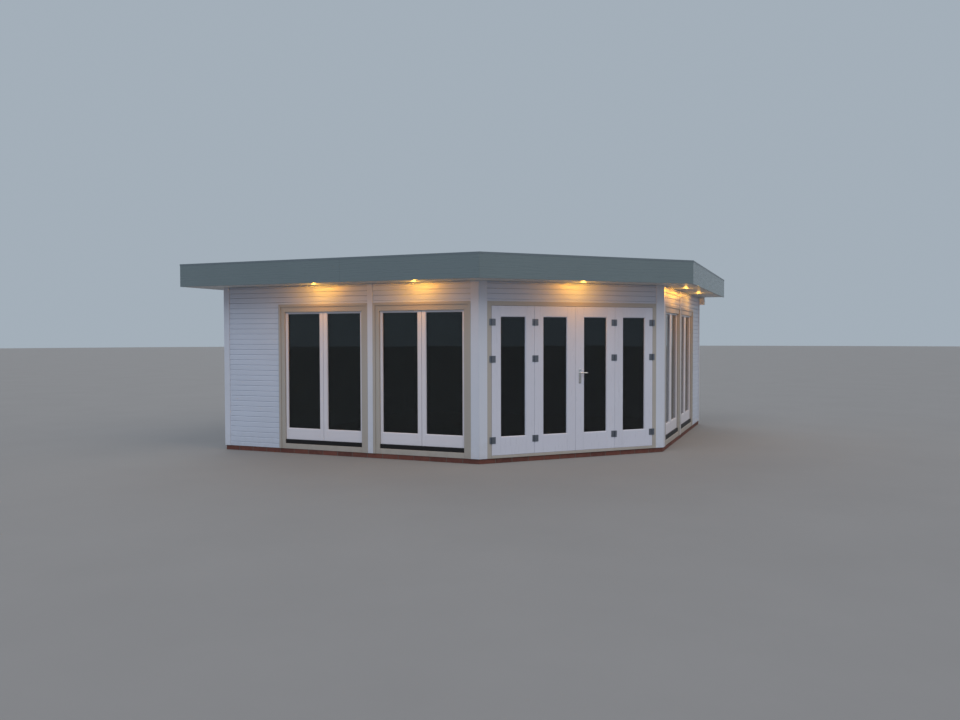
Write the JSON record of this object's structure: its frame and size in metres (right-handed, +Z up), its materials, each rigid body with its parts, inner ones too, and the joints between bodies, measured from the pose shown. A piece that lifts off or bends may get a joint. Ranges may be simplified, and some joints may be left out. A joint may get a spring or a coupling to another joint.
{
  "type": "garden office pod",
  "caption": "Square timber garden room with one corner cut off for a folding glazed door, tall windows on both sides of it and a flat overhanging roof.",
  "frame": {"origin": "middle of the overall plan box, at ground level under the brick course", "axes": "+Z up, +X along the front wall to the right, the front wall faces -Y, the right-hand wall faces +X and the folding door faces between them"},
  "size_m": [6.403, 6.1578, 2.5],
  "materials": {
    "brick": "matte dark red-brown brick",
    "floor_boards": "satin boards",
    "wall_lining": "matte painted lining",
    "cladding_paint": "satin white paint on horizontal boards",
    "board_paint": "satin white paint",
    "frame_paint": "satin stone-grey paint",
    "sash_paint": "satin white paint",
    "door_paint": "satin white paint",
    "black_metal": "satin black",
    "glass": "dark clear glass",
    "hinge_steel": "satin",
    "handle_steel": "satin",
    "ceiling_board": "matte painted board",
    "soffit_paint": "satin white paint",
    "roof_timber": "sawn softwood",
    "roof_rubber": "matte sheet",
    "fascia_paint": "satin grey-green paint",
    "edge_metal": "satin light grey",
    "light_rim": "satin white",
    "light_lens": "frosted warm lens",
    "gutter_plastic": "gloss white"
  },
  "bodies": {
    "root": {"plinth": "brick", "floor": "floor_boards", "front_wall": "wall_lining", "door_wall": "wall_lining", "right_wall": "wall_lining", "back_wall": "wall_lining", "left_wall": "wall_lining", "corner_posts": "wall_lining", "front_cladding": "cladding_paint", "door_cladding": "cladding_paint", "right_cladding": "cladding_paint", "back_cladding": "cladding_paint", "left_cladding": "cladding_paint", "corner_boards": "board_paint", "cover_strips": "board_paint", "window_frame_1": "frame_paint", "window_frame_2": "frame_paint", "window_frame_3": "frame_paint", "window_frame_4": "frame_paint", "window_sashes_1": "sash_paint", "window_sashes_2": "sash_paint", "window_sashes_3": "sash_paint", "window_sashes_4": "sash_paint", "weather_bars": "black_metal", "window_glass": "glass", "door_frame": "frame_paint", "door_threshold": "frame_paint", "door_leaf_1": "door_paint", "door_leaf_2": "door_paint", "door_leaf_3": "door_paint", "door_leaf_4": "door_paint", "door_glass": "glass", "door_hinges": "hinge_steel", "door_handle": "handle_steel", "ceiling": "ceiling_board", "soffit": "soffit_paint", "rim_joists": "roof_timber", "roof_deck": "roof_timber", "roof_sheet": "roof_rubber", "fascia": "fascia_paint", "edge_trim": "edge_metal", "light_rims": "light_rim", "light_lenses": "light_lens", "gutter": "gutter_plastic", "downpipe": "gutter_plastic"}
  },
  "joints": []
}
